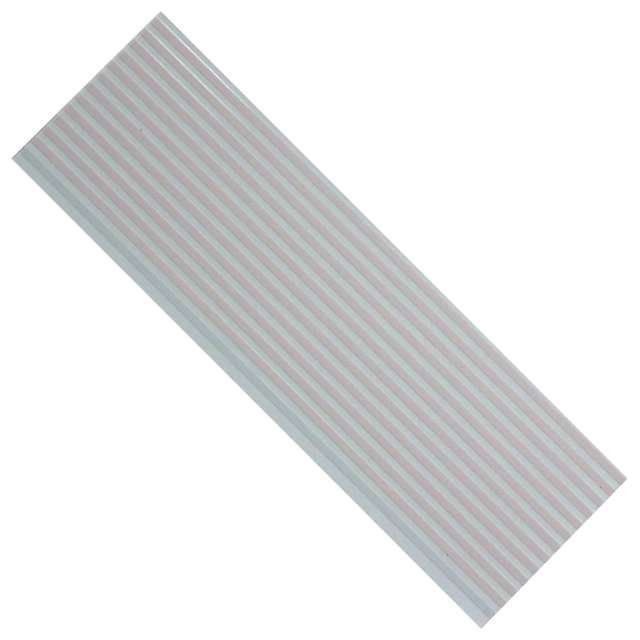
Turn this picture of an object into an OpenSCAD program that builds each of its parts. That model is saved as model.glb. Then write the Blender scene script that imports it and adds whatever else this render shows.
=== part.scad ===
// Flat flexible cable, cut to a short length: flat rolled conductors side by side, sealed
// between two polyester films that stand up in a rib over every conductor.
// Lengths are millimetres and angles are degrees. X runs along the cable, Y across it from
// the index edge to the far edge, and Z up. The origin lies under the middle of the cable,
// on the surface that it rests on.

/* [Cable] */
// Length along the index edge, the slit edge beside the index conductor
index_edge_length = 54.7; // [20:0.1:300]
// How much shorter the first cut end makes the far edge
first_end_slant = 0.11; // [0:0.01:3]
// How much shorter the second cut end makes the far edge
second_end_slant = 0.25; // [0:0.01:3]
// Distance from the index edge to the middle of the index conductor, half way along
index_margin = 1.34; // [1:0.01:5]
// Distance from the far edge to the middle of the last conductor, half way along
far_margin = 0.69; // [0.65:0.01:5]

/* [Conductors] */
// Number of conductors, the index conductor among them
conductor_count = 13; // [2:1:40]
// Distance between the middles of neighbouring conductors, half way along
pitch = 1.27; // [1.1:0.01:2.54]
// Width of a conductor over its round edges
conductor_width = 0.635; // [0.3:0.005:0.8]
// Thickness of a conductor, rolled flat from round wire
conductor_thickness = 0.1; // [0.05:0.01:0.2]
// How far the index conductor strays towards the far edge over the cable's length
index_drift = 0.23; // [0:0.01:0.6]
// How far the last conductor strays towards the far edge over the cable's length
far_drift = 0.5; // [0:0.01:0.6]

/* [Films] */
// Thickness of each film with its layer of adhesive
film_thickness = 0.09; // [0.05:0.01:0.2]
// Width of the slope down each side of a rib, from the end of the conductor's flat face
shoulder_width = 0.226; // [0.14:0.002:0.34]
// Share of that width in which the film bends down; in the rest it curves out into the web
shoulder_bend = 0.28; // [0.1:0.01:0.9]

/* [Hidden] */
film_color = [0.72, 0.77, 0.77, 0.6];
bare_copper_color = [0.78, 0.62, 0.58];
tinned_copper_color = [0.64, 0.68, 0.71];

// Steps in each of the two curves of a rib's shoulder
shoulder_steps = 3;
// How far the ribs and conductors run past the cut ends before they are trimmed
end_waste = 1;
$fn = 48;

cable_width = index_margin + (conductor_count - 1) * pitch + far_margin;
// The two films share each conductor's thickness, so a rib stands half of it above the web
rib_height = conductor_thickness / 2;
// Height of the seam where the two films are bonded, which is the conductors' middle plane
seam_height = film_thickness + rib_height;
cable_thickness = 2 * seam_height;
// A rib's crown is as wide as the flat face of the conductor under it
conductor_flat = conductor_width - conductor_thickness;
// Slope of the shoulder where its two curves meet
shoulder_angle = 2 * atan(rib_height / shoulder_width);

outline = [
  [-index_edge_length / 2, -cable_width / 2],
  [index_edge_length / 2, -cable_width / 2],
  [index_edge_length / 2 - second_end_slant, cable_width / 2],
  [-index_edge_length / 2 + first_end_slant, cable_width / 2],
];

// Place of a conductor across the cable, half way along
function conductor_y(i) = index_margin + (i - 1) * pitch - cable_width / 2;

// Angle between a conductor and the slit edges, which grows evenly across the cable
function conductor_angle(i) =
  let (share = (i - 1) / (conductor_count - 1))
  atan((index_drift + (far_drift - index_drift) * share) / index_edge_length);

function conductor_name(i) = str("conductor_", i < 10 ? "0" : "", i);

// Point on a rib's shoulder, from 0 at the crown through 1 where the curves meet to 2 at the
// web: one round bend over the conductor's edge and one hollow bend into the web
function shoulder_point(turn) =
  let (
    radius = shoulder_width / sin(shoulder_angle),
    angle = shoulder_angle * (turn < 1 ? turn : 2 - turn),
    bend = shoulder_bend * radius,
    hollow = (1 - shoulder_bend) * radius
  )
  turn < 1
    ? [conductor_flat / 2 + bend * sin(angle),
       film_thickness + rib_height - bend * (1 - cos(angle))]
    : [conductor_flat / 2 + shoulder_width - hollow * sin(angle),
       film_thickness + hollow * (1 - cos(angle))];

// Section of a rolled conductor, centred on the seam
module conductor_section() {
  square([conductor_flat, conductor_thickness], center = true);
  for (side = [-1, 1])
    translate([side * conductor_flat / 2, 0]) circle(d = conductor_thickness);
}

// Section of a rib with the film under it, standing on the seam
module rib_section() {
  last = 2 * shoulder_steps;
  far_side = [for (step = [0 : last]) shoulder_point(step / shoulder_steps)];
  index_side = [for (step = [last : -1 : 0]) [-far_side[step].x, far_side[step].y]];
  foot = far_side[last].x;
  polygon(concat([[-foot, 0]], index_side, far_side, [[foot, 0]]));
}

// Carries a section along one conductor's line, past both cut ends
module along_conductor(i) {
  translate([0, conductor_y(i), seam_height])
    rotate([0, 0, conductor_angle(i)])
      rotate([90, 0, 90])
        linear_extrude(height = index_edge_length + 2 * end_waste, center = true) children();
}

// Trims what runs past the cable's outline
module cut_to_outline() {
  intersection() {
    children();
    translate([0, 0, -end_waste])
      linear_extrude(height = cable_thickness + 2 * end_waste) polygon(outline);
  }
}

// One film, lying on the seam: its web, a rib over each conductor and the channels below
module film() {
  difference() {
    union() {
      translate([0, 0, seam_height]) linear_extrude(height = film_thickness) polygon(outline);
      cut_to_outline()
        for (i = [1 : conductor_count]) along_conductor(i) rib_section();
    }
    for (i = [1 : conductor_count]) along_conductor(i) conductor_section();
  }
}

module upper_film() {
  color(film_color) film();
}

// The lower film is the same sheet turned over about the seam
module lower_film() {
  color(film_color)
    translate([0, 0, 2 * seam_height]) mirror([0, 0, 1]) film();
}

// The conductor at the index edge is tinned, and the rest are bare
module conductor(i) {
  color(i == 1 ? tinned_copper_color : bare_copper_color)
    cut_to_outline() along_conductor(i) conductor_section();
}

lower_film();
upper_film();
for (i = [1 : conductor_count])
  conductor(i);
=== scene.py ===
import math

import bpy
import numpy as np
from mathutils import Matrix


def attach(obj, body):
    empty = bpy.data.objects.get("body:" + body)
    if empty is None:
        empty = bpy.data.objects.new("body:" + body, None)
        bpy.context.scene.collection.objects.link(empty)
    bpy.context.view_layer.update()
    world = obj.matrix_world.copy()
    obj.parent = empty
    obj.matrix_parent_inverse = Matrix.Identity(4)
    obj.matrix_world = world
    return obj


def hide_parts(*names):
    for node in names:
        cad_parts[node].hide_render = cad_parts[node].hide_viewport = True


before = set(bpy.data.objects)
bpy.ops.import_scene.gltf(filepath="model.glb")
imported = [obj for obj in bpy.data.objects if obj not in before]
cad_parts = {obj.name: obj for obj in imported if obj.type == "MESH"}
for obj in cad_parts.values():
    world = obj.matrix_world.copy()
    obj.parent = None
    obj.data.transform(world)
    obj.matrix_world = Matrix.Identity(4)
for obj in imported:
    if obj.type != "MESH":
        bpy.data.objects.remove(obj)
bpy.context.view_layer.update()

# Lower film: polyester sheet backed with a milky heat-seal adhesive, one of the two that make the
# cable's insulation. Hot rollers press it round the rolled conductors, so it stands out in a shallow
# rib under each of them, and the laminate is then slit to width and cut to length.
mm = 0.001
index_edge_length = 54.7 * mm
first_end_slant = 0.11 * mm
second_end_slant = 0.25 * mm
index_margin = 1.34 * mm
far_margin = 0.69 * mm
conductor_count = 13
pitch = 1.27 * mm
conductor_width = 0.635 * mm
conductor_thickness = 0.1 * mm
index_drift = 0.23 * mm
far_drift = 0.5 * mm
film_thickness = 0.09 * mm
shoulder_width = 0.226 * mm
shoulder_bend = 0.28

cable_width = index_margin + (conductor_count - 1) * pitch + far_margin
rib_height = conductor_thickness / 2
seam_height = film_thickness + rib_height
shoulder_start = (conductor_width - conductor_thickness) / 2
order = np.arange(conductor_count)
conductor_middle = index_margin + order * pitch - cable_width / 2
conductor_slope = (
    index_drift + (far_drift - index_drift) * order / (conductor_count - 1)
) / index_edge_length

# The adhesive wets the copper and its twin sheet. This much air keeps the faces from coinciding.
bond_gap = 0.004 * mm
# The rollers leave the ribs a little uneven along the cable: two waves sway each rib sideways and two
# swell it, with this many turns over the cable's length.
rib_sway = 0.002 * mm
rib_swell = 0.0002 * mm
fewest_turns = 2.0
most_turns = 9.0
rib_waves = (4, conductor_count)
lamination = np.random.default_rng(13)
sway_turns = lamination.uniform(fewest_turns, most_turns, rib_waves)
sway_start = lamination.uniform(0.0, 2 * np.pi, rib_waves)
# The sway takes in a rib out to this share of its shoulder's width.
sway_share = 1.1
# Points along each line of a film's grid
stations = 56
# Lines over a shoulder: this many in its bend and in its hollow, crowded by a power to where these meet
bend_lines = 6
hollow_lines = 8
line_crowding = 1.5
# Further lines before and past the shoulder, in shares of its width, and on the crown, in shares of the
# crown's half width
line_before = -0.09
lines_past = [1.09, 1.3]
crown_lines = [0.25, 0.5, 0.75]
# Lines round the conductor's edge, in degrees of its turn
edge_lines = [0.0, 35.0, 60.0, 90.0]
# Lines that meet the far slit crowd together inside it at this distance.
line_step = 0.003 * mm
# Lines are told apart to this many decimals of a metre.
line_decimals = 8
# The film is milky, so a conductor's colour spreads in it: even near the middle, then fading out. It
# shows a little towards the index edge, away from the lamp at the far side.
glow_flat = 0.1 * mm
glow_reach = 0.54 * mm
glow_shift = 0.045 * mm
tin_glow_shift = 0.01 * mm
# Edges between faces that meet at a sharper angle are creased.
crease_angle = math.radians(40)


def film_lines():
    """Lines that run along a film, each given by its place half way along and by its slope.

    Beside every conductor the lines keep fixed distances to its middle: they divide the crown, and
    are close together over the rib's shoulder and round the conductor's edge. Other lines halve the
    webs between the ribs and the margins, and the outermost two are the slit edges themselves. Where
    the far slit cuts into the last rib, the lines that it meets crowd together just inside it.
    """
    bend = shoulder_bend * (1 - np.linspace(1, 0, bend_lines) ** line_crowding)
    hollow_run = np.linspace(0, 1, hollow_lines + 1)[1:] ** line_crowding
    hollow = shoulder_bend + (1 - shoulder_bend) * hollow_run
    shoulder_run = np.concatenate([[line_before], bend, hollow, lines_past])
    shoulder = shoulder_start + shoulder_width * shoulder_run
    crown = shoulder_start * np.array(crown_lines)
    edge_turn = np.sin(np.radians(edge_lines))
    edge = conductor_width / 2 + bond_gap - rib_height * (1 - edge_turn)
    beside = np.unique(np.round(np.concatenate([crown, shoulder, edge]), line_decimals))
    beside = np.concatenate([-beside[::-1], [0.0], beside])
    half = np.array([[-1], [1]]) * index_edge_length / 2
    middle = conductor_middle + conductor_slope * half
    slit = np.full((2, 2), [-cable_width / 2, cable_width / 2])
    foot = middle[:, [0, -1]] + np.array([-1, 1]) * beside[-1]
    over_ribs = (middle[..., None] + beside).reshape(2, -1)
    over_webs = (middle[:, 1:] + middle[:, :-1]) / 2
    over_margins = (slit + foot) / 2
    lines = np.concatenate([over_ribs, over_webs, over_margins, slit], axis=1)
    lines = lines[:, np.argsort(lines[0])]
    lines = np.minimum(lines, cable_width / 2 - line_step * np.arange(lines.shape[1])[::-1])
    return lines.mean(axis=0), (lines[1] - lines[0]) / index_edge_length


def rib_rise(aside):
    """Height of a rib above the web at a distance from its middle: two arcs that meet in a slope.

    The first arc bends down from the crown and takes up the given share of the shoulder's width. The
    second, hollow arc runs out into the web. The slope where they meet follows from the shoulder's
    width and height, as twice the slope of the straight line from the crown to the web.
    """
    steepest = 2 * math.atan(rib_height / shoulder_width)
    bend_radius = shoulder_bend * shoulder_width / math.sin(steepest)
    hollow_radius = (1 - shoulder_bend) * shoulder_width / math.sin(steepest)
    run = np.clip((np.abs(aside) - shoulder_start) / shoulder_width, 0, 1)
    bent = bend_radius - np.sqrt(bend_radius**2 - (np.minimum(run, shoulder_bend) * shoulder_width) ** 2)
    left = (1 - np.maximum(run, shoulder_bend)) * shoulder_width
    hollow = hollow_radius - np.sqrt(hollow_radius**2 - left**2)
    return np.where(run < shoulder_bend, rib_height - bent, hollow)


def film_sheet():
    """Grid of one film above the seam: where each point lies, how high its two faces are, and its glow.

    Along a line, x runs evenly from the first cut end to the second, and y is the line's place plus
    its slope times x. The outer face stands a film's thickness above the seam, plus the rise of the
    nearest rib, which waves a little to the side and in height. The inner face follows the round-edged
    conductor. The glow is how much of the copper's and of the tin's colour shows there: 1 near the
    conductor's middle, and from there half a cosine wave down to 0 in the web.
    """
    place, slope = film_lines()
    first = -index_edge_length / 2 + first_end_slant * (place / cable_width + 0.5)
    second = index_edge_length / 2 - second_end_slant * (place / cable_width + 0.5)
    first = first / (1 - first_end_slant * slope / cable_width)
    second = second / (1 + second_end_slant * slope / cable_width)
    x = first + (second - first) * np.linspace(0, 1, stations)[:, None]
    y = place + slope * x
    aside = y[..., None] - (conductor_middle + conductor_slope * x[..., None])
    nearest = np.abs(aside).argmin(axis=-1)
    aside = np.take_along_axis(aside, nearest[..., None], axis=-1)[..., 0]

    along = 2 * np.pi * x / index_edge_length
    wave = np.sin(sway_turns[:, nearest] * along + sway_start[:, nearest])
    on_rib = np.abs(aside) < shoulder_start + sway_share * shoulder_width
    inside_slit = y < cable_width / 2 - 2 * rib_sway - line_step * np.arange(y.shape[1])[::-1]
    sway = np.where(on_rib & inside_slit, rib_sway * (wave[0] + wave[1]) / 2, 0)
    swell = rib_swell * ((wave[2] + wave[3]) / 2 - 1)
    outer = film_thickness + rib_rise(aside) * (1 + swell / rib_height)
    y, aside = y + sway, aside + sway

    past_flat = np.abs(aside) - shoulder_start - bond_gap
    inner = np.sqrt(np.clip(rib_height**2 - np.clip(past_flat, 0, None) ** 2, 0, None))
    shifted = aside + np.where(nearest > 0, glow_shift, tin_glow_shift)
    away = np.clip((np.abs(shifted) - glow_flat) / (glow_reach - glow_flat), 0, 1)
    glow = (1 + np.cos(np.pi * away)) / 2
    return x, y, outer, inner + bond_gap, {
        "over_copper": np.where(nearest > 0, glow, 0),
        "over_tin": np.where(nearest == 0, glow, 0),
    }


def film_piece(name, side):
    """Closed sheet from the film's grid: outer face, inner face and the four rims between them.

    Side is 1 above the seam and -1 below it. Each cell of a face is a quad of neighbouring points,
    and each rim joins the border points of the outer face to those of the inner face. The inner face
    has the bond's finish where it is as high as the conductor's flat, and the seam's finish elsewhere.
    """
    x, y, outer, inner, glows = film_sheet()
    rows, lines = x.shape
    top = np.arange(rows * lines).reshape(rows, lines)
    low = top + rows * lines

    def quads(a, b, c, d):
        return np.stack([a, b, c, d], axis=-1).reshape(-1, 4)

    outer_face = quads(top[:-1, :-1], top[1:, :-1], top[1:, 1:], top[:-1, 1:])
    inner_face = quads(low[:-1, :-1], low[:-1, 1:], low[1:, 1:], low[1:, :-1])
    rims = np.concatenate([
        quads(top[:-1, 0], low[:-1, 0], low[1:, 0], top[1:, 0]),
        quads(top[1:, -1], low[1:, -1], low[:-1, -1], top[:-1, -1]),
        quads(top[0, 1:], low[0, 1:], low[0, :-1], top[0, :-1]),
        quads(top[-1, :-1], low[-1, :-1], low[-1, 1:], top[-1, 1:]),
    ])
    faces = np.concatenate([outer_face, rims, inner_face])
    if side < 0:
        faces = faces[:, ::-1]
    z = seam_height + side * np.stack([outer, inner])
    points = np.stack([np.stack([x, x]), np.stack([y, y]), z], axis=-1).reshape(-1, 3)

    mesh = bpy.data.meshes.new(name)
    mesh.from_pydata(points.tolist(), [], faces.tolist())
    finishes = [film_skin, film_rim, film_bond, film_seam]
    for finish in finishes:
        mesh.materials.append(finish)
    lowest = inner.ravel()[inner_face - rows * lines].min(axis=1)
    over_flat = np.isclose(lowest, rib_height + bond_gap, rtol=0.001, atol=0)
    inner_slot = np.where(over_flat, finishes.index(film_bond), finishes.index(film_seam))
    face_slot = np.full(len(faces), finishes.index(film_skin), np.int32)
    face_slot[len(outer_face):] = finishes.index(film_rim)
    face_slot[-len(inner_face):] = inner_slot
    mesh.polygons.foreach_set("material_index", face_slot)
    for glow, share in glows.items():
        layer = mesh.attributes.new(glow, "FLOAT", "POINT")
        layer.data.foreach_set("value", np.tile(share.ravel(), 2).astype(np.float32))
    mesh.shade_smooth()
    mesh.set_sharp_from_angle(angle=crease_angle)
    mesh.update()
    piece = bpy.data.objects.new(name, mesh)
    bpy.context.scene.collection.objects.link(piece)
    return piece


def new_group(name, inputs, outputs):
    """Empty node group with named sockets; it returns the group, its input node and its output node."""
    group = bpy.data.node_groups.new(name, "ShaderNodeTree")
    for socket, kind in inputs.items():
        group.interface.new_socket(name=socket, in_out="INPUT", socket_type=f"NodeSocket{kind}")
    for socket, kind in outputs.items():
        group.interface.new_socket(name=socket, in_out="OUTPUT", socket_type=f"NodeSocket{kind}")
    return group, group.nodes.new("NodeGroupInput"), group.nodes.new("NodeGroupOutput")


def feed(tree, socket, value):
    """Links a socket to another one, or sets it to a plain number, place or colour."""
    if isinstance(value, bpy.types.NodeSocket):
        tree.links.new(value, socket)
    elif socket.type == "RGBA":
        socket.default_value = (*value, 1.0)
    else:
        socket.default_value = value


def worked(tree, operation, first, second):
    """Result of a Math node over two values."""
    node = tree.nodes.new("ShaderNodeMath")
    node.operation = operation
    feed(tree, node.inputs[0], first)
    feed(tree, node.inputs[1], second)
    return node.outputs["Value"]


def placed(tree, operation, first, second):
    """Result of a Vector Math node over two places: a number for a product or a distance."""
    node = tree.nodes.new("ShaderNodeVectorMath")
    node.operation = operation
    feed(tree, node.inputs[0], first)
    feed(tree, node.inputs[1], second)
    return node.outputs["Value" if operation in ("DOT_PRODUCT", "DISTANCE") else "Vector"]


def ramp(tree, value, start, stop, low=0.0, high=1.0, kind="SMOOTHSTEP"):
    """Result of a Map Range node: from low to high while the value goes from start to stop."""
    node = tree.nodes.new("ShaderNodeMapRange")
    node.interpolation_type = kind
    for socket, end in zip(("From Min", "From Max", "To Min", "To Max"), (start, stop, low, high)):
        node.inputs[socket].default_value = end
    feed(tree, node.inputs["Value"], value)
    return node.outputs["Result"]


def mixed(tree, share, first, second, kind="MIX"):
    """Result of a Mix node over two colours: inputs 6 and 7 take them, and output 2 gives the mixture."""
    node = tree.nodes.new("ShaderNodeMix")
    node.data_type = "RGBA"
    node.blend_type = kind
    feed(tree, node.inputs["Factor"], share)
    feed(tree, node.inputs[6], first)
    feed(tree, node.inputs[7], second)
    return node.outputs[2]


def grouped(tree, group, **values):
    """Result of a node group, placed with its own values."""
    node = tree.nodes.new("ShaderNodeGroup")
    node.node_tree = group
    for socket, value in values.items():
        feed(tree, node.inputs[socket], value)
    return node.outputs[0]


def noise_over(tree, place, detail):
    """Noise over a place that is already scaled to its patches."""
    node = tree.nodes.new("ShaderNodeTexNoise")
    node.inputs["Scale"].default_value = 1.0
    node.inputs["Detail"].default_value = detail
    feed(tree, node.inputs["Vector"], place)
    return node.outputs["Fac"]


def drawn_grain_group():
    """Fine lines along the cable: noise over the place scaled to lines per metre, drawn out along X."""
    group, given, result = new_group(
        "drawn grain", {"Place": "Vector", "Lines": "Float", "Run": "Float"}, {"Grain": "Float"}
    )
    lines = given.outputs["Lines"]
    scale = group.nodes.new("ShaderNodeCombineXYZ")
    feed(group, scale.inputs["X"], worked(group, "DIVIDE", lines, given.outputs["Run"]))
    feed(group, scale.inputs["Y"], lines)
    feed(group, scale.inputs["Z"], lines)
    drawn = placed(group, "MULTIPLY", given.outputs["Place"], scale.outputs["Vector"])
    feed(group, result.inputs["Grain"], noise_over(group, drawn, detail=3.0))
    return group


def soft_cloud_group():
    """Soft patches from 0 to 1: the middle range of noise over the place divided by the patch's size."""
    group, given, result = new_group(
        "soft cloud", {"Place": "Vector", "Patch": "Vector"}, {"Cloud": "Float"}
    )
    patches = placed(group, "DIVIDE", given.outputs["Place"], given.outputs["Patch"])
    cloud = ramp(group, noise_over(group, patches, detail=2.0), 0.3, 0.7, kind="LINEAR")
    feed(group, result.inputs["Cloud"], cloud)
    return group


drawn_grain = drawn_grain_group()
soft_cloud = soft_cloud_group()

# Tints that the film's own colour is multiplied by in patches, with each patch's length and width.
# Patches run straight through the film.
patch_depth = 5 * mm
patch_green = (0.942, 1.035, 1.000)
patch_rose = (1.058, 0.960, 0.982)
patch_size = (2.0 * mm, 0.9 * mm, patch_depth)
patch_blue = (0.975, 0.975, 1.16)
patch_blue_size = (1.4 * mm, 1.2 * mm, patch_depth)
patch_blue_share = 0.6
# Finer patches, and the share by which each kind darkens and lightens the film
uneven_patches = (
    ((0.4 * mm, 0.3 * mm, patch_depth), 0.04),
    ((0.15 * mm, 0.13 * mm, patch_depth), 0.07),
)
# Tints of the second end and of the margins, with the stretches along and across where they come in
second_end_tint = (1.030, 0.997, 1.024)
second_end_along = (2 * mm, 27 * mm)
# The wide margin's tint is painted light that lifts the side the lamps leave darker, with a trace of blue
margin_light_and_blue_tint = (1.021, 1.031, 1.044)
margin_across = (-6.6 * mm, -7.4 * mm)
margin_end_tint = (1.039, 1.019, 1.055)
margin_end_along = (-12 * mm, 25 * mm)
far_margin_tint = (1.07, 1.008, 1.045)
far_margin_across = (8.05 * mm, 8.3 * mm)
far_margin_along = (-6 * mm, -12 * mm)
# Each speck's place along and across the cable and its radius, in millimetres, and the share of the
# radius over which its border fades
speck_colour = (0.05, 0.055, 0.055)
specks = ((-21.49, 0.55, 0.074), (26.05, 6.56, 0.057), (21.08, -6.31, 0.05))
speck_blur = 0.4
# At the first end: a strip that the knife has whitened by a share, in full over part of its width, and a
# painted shade line along the cut edge, with a soft border, that is weaker at the far edge
cut_white = (0.94, 1.0, 1.0)
cut_width = 0.34 * mm
cut_full = 0.4
cut_share = 0.26
cut_shade_colour = (0.07, 0.075, 0.075)
cut_shade_width = 0.055 * mm
cut_shade_blur = 0.5
cut_shade_across = (-0.9 * mm, -5 * mm)
cut_shade_shares = (0.3, 1.0)


def film_tint_group():
    """Tint of the film: its colour times soft patches of green, rose and blue.

    It is a little uneven on two finer scales. The wide margin is paler: painted light that lifts the side
    the lamps leave darker, with a trace of blue. The film, this margin most of all, has a trace of violet
    towards the second end. The far margin is greyer towards the first end. Dark specks are sealed in: a
    speck is dark where the distance to its middle, across the sheet, is under its radius. The knife has
    whitened the film along the first end. A dark line along the cut is painted shade of the cut edge,
    strongest over the half beside the wide margin.
    """
    group, given, result = new_group(
        "film tint", {"Place": "Vector", "Colour": "Color"}, {"Tint": "Color"}
    )
    place = given.outputs["Place"]
    along = placed(group, "DOT_PRODUCT", place, (1, 0, 0))
    across = placed(group, "DOT_PRODUCT", place, (0, 1, 0))
    cloud = grouped(group, soft_cloud, Place=place, Patch=patch_size)
    patches = mixed(group, cloud, patch_green, patch_rose)
    cloud = grouped(group, soft_cloud, Place=place, Patch=patch_blue_size)
    patches = mixed(group, worked(group, "MULTIPLY", cloud, patch_blue_share), patches, patch_blue)
    tint = mixed(group, 1.0, given.outputs["Colour"], patches, "MULTIPLY")
    for size, uneven in uneven_patches:
        cloud = grouped(group, soft_cloud, Place=place, Patch=size)
        shade = ramp(group, cloud, 0.0, 1.0, 1 - uneven, 1 + uneven, kind="LINEAR")
        tint = mixed(group, 1.0, tint, shade, "MULTIPLY")
    second_end = ramp(group, along, *second_end_along)
    margin = ramp(group, across, *margin_across)
    margin_end = worked(group, "MULTIPLY", margin, ramp(group, along, *margin_end_along))
    far_margin_end = worked(group, "MULTIPLY", ramp(group, across, *far_margin_across),
                            ramp(group, along, *far_margin_along))
    for share, colour in ((second_end, second_end_tint), (margin, margin_light_and_blue_tint),
                          (margin_end, margin_end_tint), (far_margin_end, far_margin_tint)):
        tint = mixed(group, share, tint, colour, "MULTIPLY")
    flat = placed(group, "MULTIPLY", place, (1, 1, 0))
    for x, y, radius in specks:
        away = placed(group, "DISTANCE", flat, (x * mm, y * mm, 0))
        dark = ramp(group, away, (1 + speck_blur) * radius * mm, (1 - speck_blur) * radius * mm)
        tint = mixed(group, dark, tint, speck_colour)
    cut_line = (first_end_slant - index_edge_length) / 2
    inward = placed(group, "DOT_PRODUCT", place, (1, -first_end_slant / cable_width, 0))
    whitened = ramp(group, inward, cut_line + cut_width, cut_line + cut_full * cut_width, 0.0, cut_share)
    tint = mixed(group, whitened, tint, cut_white)
    # Painted shade along the cut edge, stronger beside the wide margin
    cut = ramp(group, inward, cut_line + (1 + cut_shade_blur) * cut_shade_width,
               cut_line + (1 - cut_shade_blur) * cut_shade_width)
    cut_shaded = worked(group, "MULTIPLY", cut, ramp(group, across, *cut_shade_across, *cut_shade_shares))
    feed(group, result.inputs["Tint"], mixed(group, cut_shaded, tint, cut_shade_colour))
    return group


film_tint = film_tint_group()


def blank_material(name):
    """Material with one Principled shader.

    It returns the material, its nodes' tree, the shader and the place on the piece in Object coordinates.
    """
    material = bpy.data.materials.new(name)
    material.use_nodes = True
    tree = material.node_tree
    place = tree.nodes.new("ShaderNodeTexCoord").outputs["Object"]
    return material, tree, tree.nodes["Principled BSDF"], place


def glowing(tree, web, copper, tin):
    """Colour of the film in the webs, over the copper and over the tin, blended by the sheet's glow."""
    colour = web
    for glow, over in (("over_copper", copper), ("over_tin", tin)):
        share = tree.nodes.new("ShaderNodeAttribute")
        share.attribute_name = glow
        colour = mixed(tree, share.outputs["Fac"], colour, over)
    return colour


def relief(tree, height, strength, depth):
    """Normal of a Bump node."""
    bump = tree.nodes.new("ShaderNodeBump")
    bump.inputs["Strength"].default_value = strength
    bump.inputs["Distance"].default_value = depth
    feed(tree, bump.inputs["Height"], height)
    return bump.outputs["Normal"]


# Colours of the film's outer face, of the seam inside and of the cut rim
skin_web = (0.505, 0.570, 0.551)
# The end colours are painted: paler webs at the second end are painted light, and darker copper and tin
# at the first end are painted shade.
skin_web_lit_end = (0.555, 0.627, 0.606)
skin_over_copper = (0.509, 0.487, 0.476)
skin_over_copper_shaded_end = (0.476, 0.438, 0.446)
skin_over_tin = (0.442, 0.504, 0.486)
skin_over_tin_shaded_end = (0.416, 0.456, 0.468)
seam_web = (0.78, 0.88, 0.80)
seam_over_copper = (0.80, 0.72, 0.70)
seam_over_tin = (0.64, 0.73, 0.73)
rim_grey = (0.55, 0.60, 0.60)
# Stretches along the cable where the outer face's end colours come in: painted shade over the conductors
# at the first end, painted light in the webs at the second end
first_end_shade_along = (-11 * mm, -27.3 * mm)
web_lit_end_along = (22.5 * mm, 27.5 * mm)
# Roughness, how much duller the outer face is beside the index edge, and the stretch where that begins
skin_roughness = (0.14, 0.28)
skin_dulling = 0.2
skin_dulling_across = (-5.2 * mm, -6.9 * mm)
rim_roughness = (0.6, 0.8)
# Refractive index of polyester
film_refraction = 1.57


def film_skin_material():
    """Outer face of the film: milky, smooth and softly glossy, with fine lines along it.

    Over the conductors it is darker towards the first end, and in the webs paler towards the second end:
    painted shade and painted light for the light's fall-off along the cable. The gloss is duller beside
    the index edge.
    """
    material, tree, shader, place = blank_material("film skin")
    along = placed(tree, "DOT_PRODUCT", place, (1, 0, 0))
    # Painted shade over the conductors towards the first end, and painted light in the webs towards the
    # second end
    first_end = ramp(tree, along, *first_end_shade_along, kind="LINEAR")
    second_end = ramp(tree, along, *web_lit_end_along)
    colour = glowing(
        tree,
        web=mixed(tree, second_end, skin_web, skin_web_lit_end),
        copper=mixed(tree, first_end, skin_over_copper, skin_over_copper_shaded_end),
        tin=mixed(tree, first_end, skin_over_tin, skin_over_tin_shaded_end),
    )
    feed(tree, shader.inputs["Base Color"], grouped(tree, film_tint, Place=place, Colour=colour))
    grain = grouped(tree, drawn_grain, Place=place, Lines=14000.0, Run=9.0)
    roughness = ramp(tree, grain, 0.0, 1.0, *skin_roughness, kind="LINEAR")
    across = placed(tree, "DOT_PRODUCT", place, (0, 1, 0))
    dulled = ramp(tree, across, *skin_dulling_across, 0.0, skin_dulling)
    feed(tree, shader.inputs["Roughness"], worked(tree, "ADD", roughness, dulled))
    feed(tree, shader.inputs["Normal"], relief(tree, grain, strength=0.05, depth=0.002 * mm))
    shader.inputs["IOR"].default_value = film_refraction
    shader.inputs["Specular IOR Level"].default_value = 1.0
    shader.inputs["Alpha"].default_value = 0.6
    return material


def film_inside_material(name, cover):
    """Inner face of the film, with no gloss of its own: the adhesive, which covers what lies under it."""
    material, tree, shader, place = blank_material(name)
    colour = glowing(tree, web=seam_web, copper=seam_over_copper, tin=seam_over_tin)
    feed(tree, shader.inputs["Base Color"], grouped(tree, film_tint, Place=place, Colour=colour))
    shader.inputs["Roughness"].default_value = 0.6
    shader.inputs["Specular IOR Level"].default_value = 0.0
    shader.inputs["Alpha"].default_value = cover
    return material


def film_rim_material():
    """Cut edge of the film: torn matt by the knife, so that little light passes through it."""
    material, tree, shader, place = blank_material("film rim")
    feed(tree, shader.inputs["Base Color"], grouped(tree, film_tint, Place=place, Colour=rim_grey))
    grain = grouped(tree, drawn_grain, Place=place, Lines=20000.0, Run=1.0)
    feed(tree, shader.inputs["Roughness"], ramp(tree, grain, 0.0, 1.0, *rim_roughness, kind="LINEAR"))
    feed(tree, shader.inputs["Normal"], relief(tree, grain, strength=0.3, depth=0.004 * mm))
    shader.inputs["Alpha"].default_value = 0.85
    return material


film_skin = film_skin_material()
film_rim = film_rim_material()
film_bond = film_inside_material("film bond", cover=0.3)
film_seam = film_inside_material("film seam", cover=0.5)
lower_sheet = film_piece("lower_film_sheet", side=-1)
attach(lower_sheet, "root")
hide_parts("lower_film")

# Bare conductors: copper wire rolled flat, laid side by side on the lower film and held by its
# adhesive. The rolls leave fine lines along them, and the heat of the lamination tints the copper.
copper_rose = (0.80, 0.615, 0.59)
copper_pale = (0.74, 0.655, 0.64)
metal_patch_size = (1.8 * mm, 0.6 * mm, patch_depth)


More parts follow.
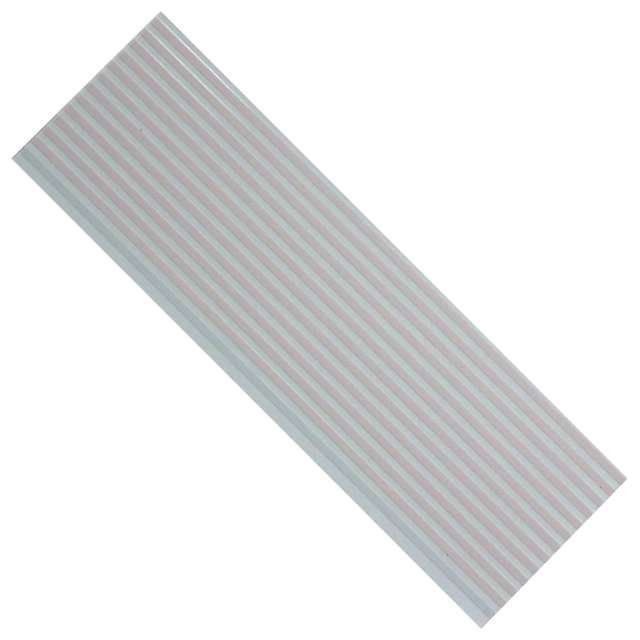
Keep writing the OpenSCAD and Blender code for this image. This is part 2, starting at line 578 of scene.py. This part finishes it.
def rolled_metal(name, first, second, dull, bright):
    """Rolled metal: two tints in soft patches, and fine lines along the strip in gloss and relief."""
    material, tree, shader, place = blank_material(name)
    cloud = grouped(tree, soft_cloud, Place=place, Patch=metal_patch_size)
    feed(tree, shader.inputs["Base Color"], mixed(tree, cloud, first, second))
    grain = grouped(tree, drawn_grain, Place=place, Lines=24000.0, Run=30.0)
    feed(tree, shader.inputs["Roughness"], ramp(tree, grain, 0.0, 1.0, bright, dull, kind="LINEAR"))
    feed(tree, shader.inputs["Normal"], relief(tree, grain, strength=0.3, depth=0.003 * mm))
    shader.inputs["Metallic"].default_value = 1.0
    return material


def dress(node, material):
    """Gives a solid its finish."""
    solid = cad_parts[node]
    solid.data.materials.clear()
    solid.data.materials.append(material)


bare_copper = rolled_metal("bare copper", copper_rose, copper_pale, dull=0.48, bright=0.3)
for number in range(2, conductor_count + 1):
    dress(f"conductor_{number:02d}", bare_copper)

# Index conductor: the same rolled copper, dipped in tin, which turns it grey. It marks the first
# way of the cable and lies beside the wider margin.
tin_grey = (0.59, 0.685, 0.645)
tin_blue = (0.61, 0.675, 0.675)
tinned_copper = rolled_metal("tinned copper", tin_grey, tin_blue, dull=0.55, bright=0.4)
dress("conductor_01", tinned_copper)

# Upper film: the twin of the lower sheet, sealed onto the conductors and to the lower film between
# them. It is the face that shows from above, with its own ribs.
upper_sheet = film_piece("upper_film_sheet", side=1)
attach(upper_sheet, "root")
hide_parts("upper_film")

# Table: a plain white surface that the cable lies on. Seen by the camera or in a reflection it
# also glows a little, so that it ends in the white of the background and keeps the shadow.
table_reach = 400 * mm
table_drop = 0.02 * mm
table_grey = (0.3, 0.3, 0.3)
white = (1.0, 1.0, 1.0)
table_mesh = bpy.data.meshes.new("table")
table_x, table_y = np.meshgrid([-table_reach, table_reach], [-table_reach, table_reach])
table_points = np.stack([table_x, table_y, np.full((2, 2), -table_drop)], axis=-1).reshape(-1, 3)
table_mesh.from_pydata(table_points.tolist(), [], [[0, 1, 3, 2]])
table_white, table_tree, table_shader = blank_material("table white")[:3]
feed(table_tree, table_shader.inputs["Base Color"], table_grey)
feed(table_tree, table_shader.inputs["Emission Color"], white)
table_shader.inputs["Roughness"].default_value = 0.9
table_shader.inputs["Specular IOR Level"].default_value = 0.0


def glow_by_ray(tree, seen, mirrored, lit):
    """Strength for rays that come straight from the camera, from a gloss, and from lit surfaces."""
    path = tree.nodes.new("ShaderNodeLightPath")
    strength = lit
    for ray, glow in (("Is Glossy Ray", mirrored), ("Is Camera Ray", seen)):
        choose = tree.nodes.new("ShaderNodeMix")
        feed(tree, choose.inputs["Factor"], path.outputs[ray])
        feed(tree, choose.inputs["A"], strength)
        feed(tree, choose.inputs["B"], glow)
        strength = choose.outputs["Result"]
    return strength


table_glow = glow_by_ray(table_tree, seen=0.82, mirrored=0.76, lit=0.0)
feed(table_tree, table_shader.inputs["Emission Strength"], table_glow)
table_mesh.materials.append(table_white)
table = bpy.data.objects.new("table", table_mesh)
bpy.context.scene.collection.objects.link(table)

# Light: an even white surround, a soft box above, and a lamp on the far side that shades the ribs. In a
# gloss the surround is brightest on the far side and darkest low on the near side, but never dark near
# the table, and the ribs that are nearest the far slit mirror a short bright strip.
surround = bpy.data.worlds.new("white surround")
bpy.context.scene.world = surround
surround.use_nodes = True
surround_tree = surround.node_tree
backdrop = surround_tree.nodes["Background"]
feed(surround_tree, backdrop.inputs["Color"], white)
direction = surround_tree.nodes.new("ShaderNodeTexCoord").outputs["Generated"]
far_side = placed(surround_tree, "DOT_PRODUCT", direction, (0, 1, 0))
upward = placed(surround_tree, "DOT_PRODUCT", direction, (0, 0, 1))
# Each strength in a gloss comes in over a range of how far the direction leans to the far side or up.
near_strength = ramp(surround_tree, far_side, -0.82, -0.5, low=0.5, high=1.1, kind="LINEAR")
dimmed_above = ramp(surround_tree, far_side, -0.25, -0.05, low=0.0, high=-0.3, kind="LINEAR")
added_far = ramp(surround_tree, far_side, 0.03, 0.16, low=0.0, high=0.72, kind="LINEAR")
least_low = ramp(surround_tree, upward, 0.6, 0.3, low=0.0, high=0.95)
in_gloss = worked(surround_tree, "ADD", near_strength, added_far)
in_gloss = worked(surround_tree, "ADD", in_gloss, dimmed_above)
in_gloss = worked(surround_tree, "MAXIMUM", in_gloss, least_low)
surround_strength = glow_by_ray(surround_tree, seen=1.0, mirrored=in_gloss, lit=0.38)
feed(surround_tree, backdrop.inputs["Strength"], surround_strength)


def lamp(name, place, aim, width, depth, glow, lights=True, mirrored=True, beam=math.pi):
    """Round or oval lamp at a place, facing a point, as bright as glow times white in its beam's middle.

    It lights the scene, or is mirrored in it, or both. A narrow beam packs the lamp's power into
    fewer directions, so the power falls by this share: the half angle of the beam over its tangent.
    """
    light = bpy.data.lights.new(name, "AREA")
    light.shape = "ELLIPSE"
    light.size = width
    light.size_y = depth
    light.spread = beam
    area = math.pi / 4 * width * depth
    light.energy = glow * math.pi * area * (1 - beam / 2 / math.tan(beam / 2))
    holder = bpy.data.objects.new(name, light)
    holder.location = place
    facing = np.array(aim) - np.array(place)
    turn = math.atan2(facing[1], facing[0]) - math.pi / 2
    tilt = math.acos(-facing[2] / np.linalg.norm(facing))
    holder.rotation_euler = (tilt, 0, turn)
    holder.visible_camera = False
    holder.visible_diffuse = lights
    holder.visible_glossy = mirrored
    bpy.context.scene.collection.objects.link(holder)


lamp(
    "soft box", place=(9.5 * mm, 13 * mm, 72 * mm), aim=(9.5 * mm, 13 * mm, 0),
    width=45.1 * mm, depth=45.1 * mm, glow=4.92, mirrored=False,
)
lamp(
    "side lamp", place=(40 * mm, 120 * mm, 90 * mm), aim=(0, 0, 0),
    width=56.4 * mm, depth=56.4 * mm, glow=13.0, mirrored=False,
)
lamp(
    "bright strip", place=(-22.5 * mm, 12.1 * mm, 5.4 * mm), aim=(-22.0 * mm, 7.3 * mm, 0.2 * mm),
    width=10.6 * mm, depth=2.2 * mm, glow=8.7, lights=False, beam=math.radians(70),
)

# Camera: straight above the cable, turned so that the cable runs from the upper left to the lower
# right of the picture.
camera_height = 300 * mm
camera_place = (-0.0178 * mm, -0.0643 * mm, camera_height)
camera_turn = math.radians(45.034)
picture_pixels = 640
pixels_per_mm = 12.157
picture_width = picture_pixels / pixels_per_mm * mm
camera = bpy.data.cameras.new("camera")
camera.sensor_width = 36.0
camera.lens = camera.sensor_width * (camera_height - 2 * seam_height) / picture_width
viewer = bpy.data.objects.new("camera", camera)
viewer.location = camera_place
viewer.rotation_euler = (0, 0, camera_turn)
bpy.context.scene.collection.objects.link(viewer)
bpy.context.scene.camera = viewer
bpy.context.scene.view_settings.view_transform = "Standard"
